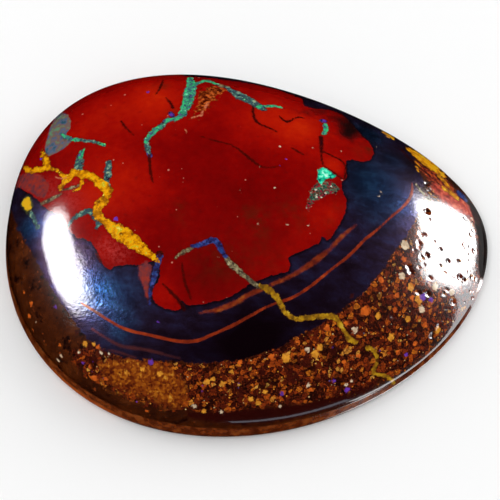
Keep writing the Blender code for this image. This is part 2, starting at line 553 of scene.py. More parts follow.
# %% Open cracks
CRACKS = [
    [(149, 155, 3), (150, 163, 3), (150, 170, 3), (151, 176, 2.5), (153, 182, 2)],
    [(199, 136, 1), (213, 140, 2), (224, 143, 2), (232, 145, 2), (239, 149, 2.5), (245, 155, 3),
     (253, 161, 3), (260, 167, 2), (268, 168, 2), (280, 166, 1.5)],
    [(253, 107, 3), (253, 115, 3), (255, 122, 4), (262, 126, 2.5), (269, 127, 2.5), (277, 132, 2)],
    [(280, 116, 2), (283, 121, 3), (287, 123, 4), (291, 121, 3), (293, 118, 2), (298, 116, 3), (304, 118, 2)],
    [(163, 80, 1.5), (161, 87, 3), (156, 94, 1.5)],
    [(166, 98, 2), (170, 102, 3), (173, 108, 4)],
    [(321, 137, 5), (322, 145, 5), (321, 151, 3), (321, 158, 2), (323, 165, 2)],
    [(322, 151, 2.5), (330, 155, 2.5), (339, 159, 2.5), (345, 162, 2), (346, 170, 2.5), (345, 179, 3)],
    [(325, 167, 2), (333, 172, 2.5), (342, 179, 2)],
    [(182, 262, 1.5), (183, 275, 2.5), (185, 284, 2.5), (188, 290, 3), (191, 299, 2)],
    [(163, 284, 2), (170, 291, 3.5), (176, 297, 3.5), (181, 303, 4), (184, 309, 4)],
    [(121, 121, 2), (125, 127, 2.5), (129, 131, 2), (134, 135, 1)],
    [(97, 254, 3), (101, 262, 3)],
    [(290, 147, 1), (297, 151, 3), (304, 155, 1.5)],
    [(402, 150, 4), (411, 160, 5), (420, 168, 4), (430, 176, 3)],
]
PALE_TRACES = [
    [(191, 118, 1.5), (197, 116, 2), (202, 115, 2.5), (203, 110, 1.5)],
    [(55, 177, 1), (62, 179, 1.5), (66, 178, 1.5)],
    [(205, 108, 2), (208, 103, 2.5)],
    [(185, 129, 1), (187, 133, 1)],
]
mark("crack", vein_depth(CRACKS))
mark("trace", vein_depth(PALE_TRACES))

# %% [markdown]
# ## Single grains
#
# Some grains stand out in the photograph: gold and orange ones, bone-white ones, violet flashes of
# opal and dark pebbles. They are placed one by one; the rest of the sand is a pattern.

# %% Grains that stand out
GOLD_GRAINS = [
    (286, 358, 4.5), (315, 354, 4.5), (320, 347, 3.5), (408, 319, 3.5), (378, 316, 3.5), (391, 337, 4),
    (438, 330, 4), (85, 344, 3), (94, 344, 2.5), (126, 372, 2.5), (142, 369, 2.5), (160, 374, 3),
    (207, 382, 3), (213, 379, 2.5), (251, 399, 3), (258, 403, 3), (204, 411, 2.5), (411, 287, 4),
    (419, 299, 5), (384, 133, 3), (388, 137, 3), (222, 384, 3), (232, 372, 2.5), (265, 392, 2.5),
]
ORANGE_GRAINS = [
    (272, 357, 3.5), (327, 328, 3.5), (365, 311, 5), (381, 280, 3.5), (404, 259, 3), (397, 295, 3),
    (425, 325, 3), (298, 342, 2.5), (346, 323, 3), (147, 411, 2), (98, 347, 2.5), (94, 378, 3.5),
    (31, 304, 3), (29, 316, 3), (33, 330, 2), (412, 298, 3), (395, 310, 3), (240, 362, 2.5),
    (344, 362, 2.5), (358, 356, 2.5), (415, 343, 3), (398, 352, 3), (311, 390, 2.5), (324, 372, 2),
    (24, 292, 2), (60, 345, 2), (106, 379, 2.5), (90, 367, 2),
]
PALE_GRAINS = [
    (355, 330, 3.5), (402, 276, 4), (405, 245, 5), (435, 287, 4), (452, 292, 4), (422, 309, 4),
    (308, 349, 3), (194, 406, 2.5), (221, 412, 2), (308, 385, 2.5), (346, 385, 2), (352, 381, 2),
    (280, 406, 2), (61, 356, 2), (58, 360, 2), (79, 352, 2), (101, 353, 2), (109, 354, 2),
    (36, 321, 1.5), (472, 219, 2), (476, 222, 2), (381, 192, 1.4), (379, 196, 1.4), (377, 147, 1.4),
    (280, 147, 1.6), (259, 167, 1.4), (275, 188, 1.2), (240, 190, 1.2), (258, 224, 1.2),
    (287, 224, 1.4), (308, 226, 1.3), (218, 257, 1.2), (313, 148, 1.3), (341, 151, 1.3),
]
VIOLET_GRAINS = [
    (423, 297, 4), (431, 300, 3), (406, 355, 2.5), (347, 390, 3), (334, 381, 2.5), (282, 394, 2.5),
    (55, 307, 2), (158, 321, 1.8), (151, 362, 3), (83, 363, 2), (148, 92, 2), (41, 159, 2),
    (116, 219, 2.5), (171, 115, 2.5), (280, 165, 1.3), (286, 159, 1.3), (324, 121, 2.5),
]
DARK_GRAINS = [
    (292, 377, 7), (307, 362, 6), (77, 332, 3), (424, 190, 4), (160, 254, 4), (392, 317, 4),
    (352, 296, 3), (262, 372, 4), (333, 352, 4), (378, 360, 3), (240, 394, 4),
]


def grain_depth(grains):
    """How deep each vertex lies inside round grains given as (across, down, radius in pixels)."""
    depth = np.full(len(surface), -FAR)
    for across, down, size in grains:
        gap = np.linalg.norm(surface - on_stone(across, down), axis=1)
        depth = np.maximum(depth, size / PIXELS_PER_MM - gap)
    return depth


mark("gold_grain", grain_depth(GOLD_GRAINS))
mark("orange_grain", grain_depth(ORANGE_GRAINS))
mark("pale_grain", grain_depth(PALE_GRAINS))
mark("violet_grain", grain_depth(VIOLET_GRAINS))
mark("dark_grain", grain_depth(DARK_GRAINS))

# %% The maroon border above the girdle, and the girdle itself
MAROON = [
    (186, 411), (205, 412), (230, 411), (255, 409), (280, 407), (305, 404), (325, 399), (345, 393),
    (362, 387), (378, 380), (372, 390), (352, 402), (325, 411), (300, 418), (270, 423), (235, 425),
    (205, 421), (188, 417),
]
mark("maroon", area_depth([MAROON]))
mark("below_girdle", (girdle_height(u) - ground[:, 2]) / MM)
mark("height", ground[:, 2] / MM)

# %% [markdown]
# ## Soft changes
#
# Some changes have no edge: the jasper is more orange at the top and on the right, darker in the
# middle and brownish low down, and a dark cloud sits in its upper right corner. Soft round spots
# are enough for them. Two sets of spots are painted light: a rosy sheen on the red beside the
# left highlight, and an orange rim light on the foot of the wall at the left and lower left.

# %% Soft spots
WARM_SPOTS = [
    (120, 190, 45, 0.55), (150, 100, 45, 0.75), (95, 130, 40, 0.35), (300, 130, 34, 1.0),
    (260, 112, 22, 0.4), (330, 212, 20, 0.5), (333, 165, 14, 0.8), (163, 292, 14, 0.4),
    (90, 195, 26, 0.35), (250, 205, 40, -0.30), (215, 270, 34, -0.4), (170, 230, 30, -0.1),
    (360, 150, 12, 0.2), (103, 250, 12, 0.4), (240, 130, 26, 0.2),
]
BROWN_SPOTS = [
    (36, 184, 9, 0.7), (48, 198, 7, 0.5), (338, 206, 7, 0.4), (328, 222, 7, 0.4), (369, 149, 7, 1.0),
    (179, 208, 9, 0.5), (258, 216, 13, 0.7), (288, 207, 12, 0.6), (220, 262, 26, 0.55),
    (265, 255, 22, 0.4), (300, 222, 12, 0.4), (360, 152, 9, 0.5), (182, 222, 8, 0.3),
    (161, 86, 8, 0.9), (172, 112, 6, 0.7), (262, 232, 8, 0.6), (246, 212, 7, 0.5), (333, 236, 8, 0.5),
]
CLOUD_SPOTS = [
    (352, 120, 12, 0.8), (353, 128, 13, 1.0), (347, 134, 10, 0.8), (338, 120, 10, 0.4),
    (318, 111, 11, 0.4), (306, 113, 8, 0.3), (330, 109, 9, 0.3),
]
# Spots of painted sheen: the red turns pink next to the left highlight
ROSY_SHEEN_SPOTS = [
    (118, 252, 12, 0.8), (104, 246, 9, 0.6), (70, 205, 14, 0.5), (45, 190, 14, 0.5), (72, 188, 8, 0.4),
]
BLUE_SPOTS = [
    (115, 295, 26, 0.6), (95, 290, 20, 0.6), (372, 182, 28, 1.0), (403, 205, 18, 0.3),
    (376, 212, 18, 0.3), (120, 328, 16, 0.5), (368, 134, 16, 0.9), (392, 160, 14, 0.5),
    (30, 228, 14, 0.9),
]
DEEP_SPOTS = [
    (270, 335, 42, 1.0), (205, 352, 22, 0.6), (240, 345, 26, 0.7), (318, 300, 22, 0.5),
    (350, 280, 20, 0.3), (410, 165, 13, 0.6), (180, 350, 18, 0.4),
]
CRINKLED_SPOTS = [
    (84, 258, 13, 1.0), (88, 278, 14, 1.2), (92, 300, 14, 1.1), (80, 308, 12, 1.0), (108, 290, 16, 0.4),
    (112, 316, 18, 0.6), (70, 322, 10, 0.6), (128, 318, 14, 0.3), (410, 207, 13, 0.9),
    (415, 190, 12, 0.8), (426, 188, 12, 0.8), (402, 225, 13, 0.6), (398, 160, 18, 0.3), (55, 200, 12, 0.4),
]
LEMON_SPOTS = [(26, 202, 7, 1.0), (29, 209, 6, 0.6)]
# Where a painted rim light lies on the foot of the wall, at the left and lower left
RIM_LIGHT_SPOTS = [
    (48, 366, 20, 0.7), (75, 390, 22, 1.0), (105, 410, 20, 0.8), (8, 250, 30, 0.9), (12, 290, 24, 0.4),
]
mark("warm", spot_glow(WARM_SPOTS))
mark("brown", spot_glow(BROWN_SPOTS))
mark("cloud", spot_glow(CLOUD_SPOTS))
mark("painted_rosy_sheen", spot_glow(ROSY_SHEEN_SPOTS))
mark("bluish", spot_glow(BLUE_SPOTS))
mark("deep", spot_glow(DEEP_SPOTS))
mark("crinkled", spot_glow(CRINKLED_SPOTS))
mark("lemon", spot_glow(LEMON_SPOTS))
mark("painted_rim_light", spot_glow(RIM_LIGHT_SPOTS))

# %% [markdown]
# ## The surface
#
# A hand-cut dome is never a perfect curve: it has faint flats, and the sand on the right has small
# open pits that the polish could not close. At the narrow end the edge is worn round and dull,
# which keeps it dark beside the bright highlight; its colour is painted near black there as well,
# as painted shade. All three are real shape here, so each vertex moves along its normal. The pits
# that the photograph shows are placed one by one, and smaller ones are strewn over the sand with a fixed
# seed.

# %% Faint flats of a hand-cut dome
FLATS = ((2.6, 0.016), (1.1, 0.0040), (0.5, 0.0009))
waves = np.array([
    sum(depth * noise.noise(Vector(point) / size) for size, depth in FLATS) for point in surface
])
push = waves * np.clip((1 - np.hypot(u, v)) * 8, 0, 1) * on_face
print(f"flats: {waves.min():.3f} to {waves.max():.3f} mm")

# %% The worn edge at the narrow end
WORN_AND_DARK_WIDTH = 0.75
WORN_DEPTH = 0.11
WORN_AND_DARK_SPOTS = [(468, 214, 16, 0.7), (478, 236, 18, 1.0), (485, 258, 16, 0.8)]

from_edge = (1 - np.minimum(np.hypot(u, v), 1)) * LENGTH / 2 / MM
# This band is worn round in shape here, and further down its colour is painted near black: painted shade
worn_and_painted_dark = np.clip(1 - from_edge / WORN_AND_DARK_WIDTH, 0, 1) ** 2 * np.clip(spot_glow(WORN_AND_DARK_SPOTS), 0, 1)
push -= WORN_DEPTH * worn_and_painted_dark * np.clip(1 - 2 * share_down, 0, 1)
mark("worn_and_painted_dark", worn_and_painted_dark)

# %% Pits in the sand
PITS = [
    (427, 211, 2.9, 0.14), (429, 219, 1.6, 0.05), (421, 234, 1.8, 0.06), (424, 234, 1.5, 0.05),
    (419, 243, 1.8, 0.06), (434, 241, 1.6, 0.05), (440, 249, 2.0, 0.07), (427, 255, 2.2, 0.07),
    (422, 257, 1.6, 0.05), (448, 261, 2.2, 0.08), (459, 261, 1.8, 0.07), (464, 245, 1.5, 0.05),
    (471, 235, 1.6, 0.05), (474, 251, 1.8, 0.06), (460, 277, 2.4, 0.11), (464, 280, 2.2, 0.10),
    (409, 267, 1.9, 0.10), (411, 272, 1.9, 0.10), (428, 294, 2.0, 0.09), (419, 293, 1.6, 0.07),
    (453, 302, 2.2, 0.09), (426, 184, 2.0, 0.06), (440, 266, 2.0, 0.04), (445, 273, 1.5, 0.04),
    (430, 278, 1.8, 0.04), (472, 277, 1.6, 0.04), (393, 316, 2.4, 0.06), (432, 336, 2.2, 0.07),
    (372, 356, 2.0, 0.07), (439, 326, 1.8, 0.05),
]
STREWN_PITS = 150
STREWN_DEPTH = 0.025
rng = np.random.default_rng(7)
coarse = np.flatnonzero((area_depth([COARSE_SAND]) > 0.3) & on_face)
for pick in rng.choice(coarse, STREWN_PITS, replace=False):
    reach_mm = rng.uniform(0.06, 0.12)
    gap = np.linalg.norm(surface - surface[pick], axis=1) / reach_mm
    push -= STREWN_DEPTH * np.exp(-gap ** 4)
for across, down, size, deep in PITS:
    middle = on_stone(across, down)
    gap = np.linalg.norm(surface - middle, axis=1) * PIXELS_PER_MM / size
    push -= deep * np.exp(-gap ** 4)

normals = np.empty(len(mesh.vertices) * 3)
mesh.vertex_normals.foreach_get("vector", normals)
ground += normals.reshape(-1, 3) * (push * MM)[:, None]
mesh.vertices.foreach_set("co", ground.ravel())
mesh.update()
print(f"surface moved by {push.min():.3f} to {push.max():.3f} mm")

# %% Smooth, with a crisp foot
bpy.ops.object.select_all(action="DESELECT")
stone.select_set(True)
bpy.context.view_layer.objects.active = stone
bpy.ops.object.shade_smooth_by_angle(angle=math.radians(40))
print("stone:", sum(len(face.vertices) - 2 for face in mesh.polygons), "triangles")

# %% [markdown]
# ## The finish
#
# One material covers the stone, as one polish does. Its colour is built up in layers, the way the
# stone grew: ironstone and sand first, then the navy potch, the jasper, and at last the veins.
# A few helpers keep the layers short to write.

# %% Helpers for a layered finish
finish = bpy.data.materials.new("polished_boulder_opal")
finish.use_nodes = True
tree = finish.node_tree
shader = tree.nodes["Principled BSDF"]


def wire(value, target):
    """Feeds an input: a socket is linked, anything else becomes its fixed value."""
    if isinstance(value, bpy.types.NodeSocket):
        tree.links.new(value, target)
    else:
        target.default_value = value


def seen(red, green, blue):
    """A colour given from 0 to 255, as the linear colour that a shader takes."""
    linear = [
        c / 255 / 12.92 if c <= 10 else ((c / 255 + 0.055) / 1.055) ** 2.4 for c in (red, green, blue)
    ]
    return (*linear, 1.0)


def maths(operation, *values, clamp=False):
    """One step of arithmetic."""
    made = tree.nodes.new("ShaderNodeMath")
    made.operation = operation
    made.use_clamp = clamp
    for value, target in zip(values, made.inputs):
        wire(value, target)
    return made.outputs[0]


def field(name):
    """One of the marks on the vertices."""
    made = tree.nodes.new("ShaderNodeAttribute")
    made.attribute_name = name
    return made.outputs["Fac"]


def stretch(value, start, end, to_start=0.0, to_end=1.0):
    """Maps a range of values smoothly to another, and holds it at the ends."""
    made = tree.nodes.new("ShaderNodeMapRange")
    made.interpolation_type = "SMOOTHSTEP"
    for each, target in zip((value, start, end, to_start, to_end), made.inputs):
        wire(each, target)
    return made.outputs["Result"]


def ramp(value, *stops):
    """Turns a value into colours; each stop is (position, colour)."""
    made = tree.nodes.new("ShaderNodeValToRGB")
    wire(value, made.inputs["Fac"])
    band = made.color_ramp
    while len(band.elements) < len(stops):
        band.elements.new(0.5)
    for element, (position, colour) in zip(band.elements, stops):
        element.position = position
        element.color = colour
    return made.outputs["Color"]


def paint(under, over, mask):
    """Lays one colour over another where the mask is 1."""
    made = tree.nodes.new("ShaderNodeMix")
    made.data_type = "RGBA"
    for value, target in ((mask, made.inputs[0]), (under, made.inputs[6]), (over, made.inputs[7])):
        wire(value, target)
    return made.outputs[2]


def blend(under, over, mask):
    """The same for plain numbers."""
    made = tree.nodes.new("ShaderNodeMix")
    for value, target in ((mask, made.inputs[0]), (under, made.inputs[2]), (over, made.inputs[3])):
        wire(value, target)
    return made.outputs[0]


def told(layer):
    """Prints how far the finish has grown."""
    print(f"{layer}: {len(tree.nodes)} nodes so far")


told("helpers")

# %% [markdown]
# Patterns read the stone's own coordinates in millimetres, so a size in the list is a size on the
# stone. Each pattern is shifted by its seed, or all would line up. Cycles works the nodes out in the
# order they are made and can hold only some 250 numbers at a time, so each node is made after the
# ones that it reads.

# %% Helpers for patterns
coordinates = tree.nodes.new("ShaderNodeTexCoord").outputs["Object"]


def shifted(seed, stretch_to=(1, 1, 1)):
    """The stone's coordinates in mm, moved by a seed."""
    made = tree.nodes.new("ShaderNodeMapping")
    wire(coordinates, made.inputs["Vector"])
    made.inputs["Location"].default_value = (seed * 7.3, seed * -4.1, seed * 5.7)
    made.inputs["Scale"].default_value = [share / MM for share in stretch_to]
    return made.outputs["Vector"]


def clouds(size, seed, detail=3.0, rough=0.55, stretch_to=(1, 1, 1)):
    """A cloudy pattern with lumps of a size in mm, round 0.5."""
    where = shifted(seed, stretch_to)
    made = tree.nodes.new("ShaderNodeTexNoise")
    wire(where, made.inputs["Vector"])
    made.inputs["Scale"].default_value = 1 / size
    made.inputs["Detail"].default_value = detail
    made.inputs["Roughness"].default_value = rough
    return made.outputs["Fac"]


def grains(size, seed, feature="F1"):
    """Cells of a size in mm: a random colour for each, and the distance to its middle or edge."""
    where = shifted(seed)
    made = tree.nodes.new("ShaderNodeTexVoronoi")
    made.feature = feature
    wire(where, made.inputs["Vector"])
    made.inputs["Scale"].default_value = 1 / size
    return made.outputs


def channel(colour, index):
    """One of the three numbers of a colour."""
    made = tree.nodes.new("ShaderNodeSeparateColor")
    wire(colour, made.inputs[0])
    return made.outputs[index]


def mask_of(name, soft=0.03, ragged=0.0, size=0.3, seed=1.0, grow=0.0):
    """1 inside a marking and 0 outside; its edge wanders by ragged mm and fades over soft mm."""
    depth = maths("ADD", field(name), grow)
    if ragged:
        wander = maths("MULTIPLY_ADD", clouds(size, seed, 4.0, 0.65), 5 * ragged, -2.5 * ragged)
        depth = maths("ADD", depth, wander)
    return stretch(depth, -soft, soft)


told("patterns")

# %% [markdown]
# ### Ironstone and sand
#
# Smooth ironstone is chocolate brown with slow clouds. The sand is grains of quartz, a third of a
# millimetre across, set in dark red iron. Each grain has a colour of its own, most of them rusty,
# some honey or bone, and a few pale or violet where opal fills the gap.

# %% Ironstone
slow = clouds(3.0, 1.0, 4.0)
brown_stone = ramp(
    maths("MULTIPLY_ADD", clouds(0.5, 2.0, 4.0), 0.35, maths("MULTIPLY", slow, 0.65)),
    (0.30, seen(30, 6, 2)), (0.45, seen(50, 16, 2)), (0.56, seen(66, 24, 2)), (0.75, seen(98, 44, 8)),
)
dark_patches = stretch(clouds(0.9, 49.0, 5.0, 0.65), 0.54, 0.66)
brown_stone = paint(brown_stone, seen(22, 2, 1), dark_patches)
rust_spots = stretch(clouds(0.35, 50.0, 4.0, 0.6), 0.64, 0.72)
brown_stone = paint(brown_stone, seen(136, 58, 14), maths("MULTIPLY", rust_spots, 0.8))
told("ironstone")

# %% Two ways to lay grains

def scattered(size, seed, share, smallest, largest, colours, under):
    """Lays small round specks over a colour: a share of the cells holds one, each with its own size."""
    cell = grains(size, seed)
    radius = maths("MULTIPLY_ADD", channel(cell["Color"], 2), largest - smallest, smallest)
    depth = maths("SUBTRACT", radius, cell["Distance"])
    present = stretch(channel(cell["Color"], 0), 1 - share - 0.01, 1 - share + 0.01)
    body = ramp(channel(cell["Color"], 1), *colours)
    return paint(under, body, maths("MULTIPLY", present, stretch(depth, -0.04, 0.08)))


def packed(size, seed, share, gap, colours, under):
    """Lays angular grains side by side over a colour, with dark gaps between them."""
    cell = grains(size, seed)
    border = grains(size, seed, "DISTANCE_TO_EDGE")["Distance"]
    present = stretch(channel(cell["Color"], 0), 1 - share - 0.01, 1 - share + 0.01)
    body = ramp(channel(cell["Color"], 1), *colours)
    body = paint(body, seen(60, 12, 3), stretch(clouds(size / 3, seed + 0.5, 3.0, 0.7), 0.42, 0.70))
    return paint(under, body, maths("MULTIPLY", present, stretch(border, gap * 0.4, gap)))


told("grains")

# %% Coarse sand
RUSTY = (
    (0.0, seen(50, 6, 1)), (0.35, seen(96, 26, 3)), (0.6, seen(142, 50, 4)), (0.8, seen(184, 80, 8)),
    (0.93, seen(210, 116, 18)), (1.0, seen(226, 164, 66)),
)
sand = ramp(
    clouds(0.14, 4.0, 3.0, 0.7),
    (0.34, seen(14, 1, 1)), (0.46, seen(40, 7, 2)), (0.58, seen(80, 22, 4)), (0.70, seen(136, 58, 12)),
)
sand = packed(0.24, 5.0, 0.62, 0.09, RUSTY, sand)
sand = packed(0.36, 3.0, 0.40, 0.10, RUSTY, sand)
SPARKS = (
    (0.0, seen(230, 104, 16)), (0.45, seen(250, 174, 50)), (0.8, seen(240, 206, 140)),
    (1.0, seen(150, 160, 140)),
)
sand = scattered(0.24, 6.0, 0.24, 0.10, 0.26, SPARKS, sand)
FLASHES = ((0.0, seen(70, 20, 130)), (0.5, seen(110, 50, 160)), (1.0, seen(50, 100, 110)))
sand = scattered(0.40, 7.0, 0.05, 0.12, 0.22, FLASHES, sand)
shade = stretch(clouds(1.1, 8.0, 3.0), 0.50, 0.66)
sand = paint(sand, seen(22, 3, 1), maths("MULTIPLY", shade, 0.65))
fine_gaps = stretch(clouds(0.09, 65.0, 3.0, 0.7), 0.50, 0.62)
sand = paint(sand, seen(26, 4, 1), maths("MULTIPLY", fine_gaps, 0.5))
told("coarse sand")

# %% Golden sand
gold_fleck = channel(grains(0.15, 9.0)["Color"], 0)
golden = ramp(
    maths("MULTIPLY_ADD", gold_fleck, 0.40, maths("MULTIPLY", clouds(0.7, 10.0, 5.0), 0.6)),
    (0.22, seen(70, 18, 2)), (0.40, seen(108, 40, 3)), (0.56, seen(134, 60, 4)), (0.70, seen(168, 92, 12)),
    (0.86, seen(220, 160, 50)),
)
told("golden sand")

# %% Ironstone side, with its maroon border and its girdle
in_sand = mask_of("coarse_sand", 0.06, 0.22, 0.35, 9.0)
in_gold = mask_of("golden_sand", 0.25, 0.35, 0.6, 10.0)
ironstone = paint(brown_stone, sand, in_sand)
ironstone = paint(ironstone, golden, in_gold)
maroon_cover = maths("MULTIPLY", mask_of("maroon", 0.10, 0.06, 0.4, 44.0), 0.92)
ironstone = paint(ironstone, seen(44, 2, 1), maroon_cover)
wall_stone = ramp(
    clouds(0.6, 45.0, 4.0), (0.35, seen(76, 26, 5)), (0.5, seen(102, 40, 9)), (0.66, seen(136, 68, 24)),
)
# Painted rim light: the foot of the wall at the left and lower left is painted bright orange, strongest near
# the floor
painted_foot_light = maths("MULTIPLY", field("painted_rim_light"), stretch(field("height"), 0.95, 0.35), clamp=True)
wall_stone = paint(wall_stone, seen(214, 104, 40), maths("MULTIPLY", painted_foot_light, 0.7))
ironstone = paint(ironstone, wall_stone, stretch(field("below_girdle"), -0.12, 0.20))
told("ironstone side")

# %% [markdown]
# ### Navy potch
#
# The dark half of the opal side looks black in the middle and blue near the lamps, because light
# scatters back from inside it. A metallic share does that: it is dark where it mirrors the dark
# room and glows in its own blue close to a lamp's reflection.

# %% Navy potch
potch_cloud = clouds(1.4, 11.0, 5.0, 0.6, (1, 1.8, 1))
potch_fine = clouds(0.22, 12.0, 3.0, 0.7)
navy = ramp(
    maths("MULTIPLY_ADD", potch_fine, 0.15, maths("MULTIPLY", potch_cloud, 0.85)),
    (0.30, seen(26, 8, 20)), (0.46, seen(38, 22, 42)), (0.58, seen(44, 32, 62)), (0.75, seen(50, 54, 92)),
)
blue_potch = ramp(
    maths("MULTIPLY_ADD", potch_fine, 0.4, maths("MULTIPLY", potch_cloud, 0.6)),
    (0.34, seen(18, 36, 68)), (0.5, seen(30, 64, 106)), (0.68, seen(52, 104, 150)),
)
navy = paint(navy, blue_potch, maths("MULTIPLY", field("bluish"), 0.8, clamp=True))
navy = paint(navy, seen(20, 2, 12), maths("MULTIPLY", field("deep"), 0.9, clamp=True))
on_opal_side = mask_of("opal_side", 0.04, 0.12, 0.35, 13.0)
colour = paint(ironstone, navy, on_opal_side)
depth_of_blue = maths("MULTIPLY", field("bluish"), 1.5, clamp=True)
metal = blend(0.0, blend(0.55, 0.93, depth_of_blue), on_opal_side)
told("navy potch")

# %% Faint seams in the potch
in_faint = mask_of("faint", 0.08, 0.04, 0.6, 14.0)
colour = paint(colour, seen(112, 52, 50), maths("MULTIPLY", in_faint, 0.7))
told("faint seams")

# %% [markdown]
# ### Red jasper
#
# The red is strong and even, with a slow drift from orange to crimson, fine mottling, brownish
# hazes and a scatter of pale specks.

# %% Red jasper
drift = clouds(4.5, 15.0, 3.0)
mottle = clouds(0.6, 16.0, 5.0, 0.65)
red_value = maths("MULTIPLY_ADD", mottle, 0.30, maths("MULTIPLY_ADD", drift, 0.45, 0.06))
red_value = maths("MULTIPLY_ADD", field("warm"), 0.36, red_value)
red_stone = ramp(
    red_value,
    (0.20, seen(94, 0, 0)), (0.40, seen(124, 0, 0)), (0.58, seen(152, 6, 0)), (0.75, seen(176, 20, 0)),
    (0.95, seen(202, 46, 2)),
)
brown_haze = maths("MULTIPLY", field("brown"), stretch(clouds(0.5, 17.0, 4.0), 0.3, 0.65), clamp=True)
red_stone = paint(red_stone, seen(76, 26, 10), maths("MULTIPLY", brown_haze, 0.7))
cloud_depth = maths("MULTIPLY_ADD", clouds(0.5, 18.0, 4.0), 0.9, maths("SUBTRACT", field("cloud"), 0.50))
cloud_cover = maths("POWER", stretch(cloud_depth, 0.05, 1.10), 0.45)
red_stone = paint(red_stone, seen(26, 8, 8), cloud_cover)

told("red jasper")

# %% Pale specks in the red, and a painted rosy sheen beside the left highlight
specks = grains(0.85, 19.0)
speck_size = maths("MULTIPLY_ADD", channel(specks["Color"], 1), 0.06, 0.03)
speck = stretch(maths("SUBTRACT", speck_size, specks["Distance"]), -0.03, 0.03)
speck = maths("MULTIPLY", speck, stretch(channel(specks["Color"], 0), 0.55, 0.60))
red_stone = paint(red_stone, seen(214, 130, 110), maths("MULTIPLY", speck, 0.7))

# Painted sheen: pink laid on the red where the left lamp's reflection spreads
painted_rosy_sheen = maths("MULTIPLY", field("painted_rosy_sheen"), stretch(clouds(0.22, 51.0, 4.0, 0.7), 0.35, 0.65), clamp=True)
red_stone = paint(red_stone, seen(196, 62, 58), maths("MULTIPLY", painted_rosy_sheen, 0.7))
told("specks")

# %% The red laid over the potch, with a dark margin
red_margin = maths("MULTIPLY", mask_of("red", 0.10, 0.06, 0.30, 20.0, grow=0.12), on_opal_side)
colour = paint(colour, seen(12, 3, 8), maths("MULTIPLY", red_margin, 0.7))
in_red = mask_of("red", 0.03, 0.06, 0.30, 20.0)
in_red = maths("MULTIPLY", in_red, on_opal_side)
colour = paint(colour, red_stone, in_red)
metal = blend(metal, 0.0, in_red)
told("red on the stone")

# %% [markdown]
# ### Veins
#
# Play of colour shows as small patches that change from teal to mint along a vein. Each vein
# colour is a ramp over fine cells, so no two places are the same.

# %% Orange seams
in_seam = mask_of("seam", 0.035, 0.02, 0.5, 21.0)
in_band = mask_of("band", 0.09, 0.05, 0.4, 22.0)
seam_colour = ramp(
    clouds(0.8, 23.0, 4.0), (0.35, seen(104, 26, 4)), (0.6, seen(150, 46, 8)), (0.75, seen(182, 76, 24)),
)
band_colour = ramp(
    clouds(0.5, 24.0, 4.0), (0.35, seen(92, 22, 4)), (0.55, seen(130, 42, 4)), (0.75, seen(164, 80, 16)),
)
colour = paint(colour, band_colour, maths("MULTIPLY", in_band, 0.9))
colour = paint(colour, seam_colour, in_seam)
metal = blend(metal, 0.0, maths("MAXIMUM", in_band, in_seam))
told("orange seams")

# %% Scorched, rusty and coral patches, and a lemon spot
scorch = stretch(maths("MULTIPLY_ADD", clouds(0.42, 55.0, 4.0, 0.6), 1.8, field("scorched")), 0.94, 1.16)
scorch_colour = ramp(
    clouds(0.30, 56.0, 3.0, 0.6),
    (0.38, seen(64, 14, 2)), (0.50, seen(112, 44, 8)), (0.62, seen(206, 98, 36)),
)
colour = paint(colour, scorch_colour, maths("MULTIPLY", scorch, 0.9))
rust_colour = ramp(
    clouds(0.40, 57.0, 4.0, 0.6),
    (0.34, seen(40, 8, 4)), (0.50, seen(128, 34, 12)), (0.66, seen(206, 92, 30)),
)
coral_colour = ramp(
    clouds(0.45, 58.0, 4.0, 0.6),
    (0.34, seen(120, 26, 16)), (0.52, seen(204, 66, 44)), (0.66, seen(230, 120, 84)),
)
for name, opaque, seed in (("rust", rust_colour, 25.0), ("coral", coral_colour, 59.0)):
    inside = mask_of(name, 0.22, 0.20, 0.45, seed)
    colour = paint(colour, opaque, maths("MULTIPLY", inside, 0.95))
    metal = blend(metal, 0.0, inside)
lemon = stretch(maths("MULTIPLY_ADD", clouds(0.3, 60.0, 4.0), 0.8, field("lemon")), 0.65, 1.15)
colour = paint(colour, seen(150, 160, 40), maths("MULTIPLY", lemon, 0.6))
colour = paint(colour, seen(222, 170, 10), stretch(lemon, 0.3, 0.9))
metal = blend(metal, 0.0, lemon)
told("patches")

# %% Brown wedge and the potch window
in_wedge = mask_of("wedge", 0.10, 0.10, 0.3, 26.0)
wedge_colour = ramp(clouds(0.4, 27.0), (0.35, seen(96, 44, 52)), (0.65, seen(150, 44, 32)))
colour = paint(colour, wedge_colour, in_wedge)
metal = blend(metal, 0.0, in_wedge)
in_potch = mask_of("potch", 0.05, 0.04, 0.3, 28.0)
potch_colour = ramp(
    clouds(0.55, 29.0, 4.0),
    (0.34, seen(40, 78, 96)), (0.44, seen(86, 98, 122)), (0.54, seen(118, 88, 78)),
    (0.66, seen(96, 132, 104)),
)
colour = paint(colour, potch_colour, in_potch)
told("wedge and window")

# %% Green, teal and blue opal
opal_cell = channel(grains(0.21, 30.0)["Color"], 0)
opal_flow = clouds(0.38, 31.0, 4.0, 0.6)
play = maths("MULTIPLY_ADD", opal_cell, 0.50, maths("MULTIPLY_ADD", opal_flow, 1.7, -0.60))
green_opal = ramp(
    play,
    (0.08, seen(96, 92, 140)), (0.22, seen(20, 50, 64)), (0.36, seen(76, 124, 132)),
    (0.50, seen(20, 96, 72)), (0.64, seen(72, 186, 126)), (0.78, seen(48, 84, 100)),
    (0.94, seen(120, 240, 176)),
)
teal_opal = ramp(
    play,
    (0.10, seen(28, 30, 42)), (0.32, seen(62, 90, 98)), (0.50, seen(40, 62, 66)), (0.72, seen(92, 138, 124)),
    (0.92, seen(156, 176, 140)),
)
blue_opal = ramp(
    play,
    (0.2, seen(30, 22, 56)), (0.45, seen(40, 44, 106)), (0.62, seen(30, 62, 120)), (0.85, seen(74, 78, 152)),
)
grey_opal = ramp(
    play,
    (0.2, seen(60, 52, 40)), (0.45, seen(112, 100, 76)), (0.7, seen(150, 138, 96)),
    (0.9, seen(186, 180, 150)),
)

told("cool opal")

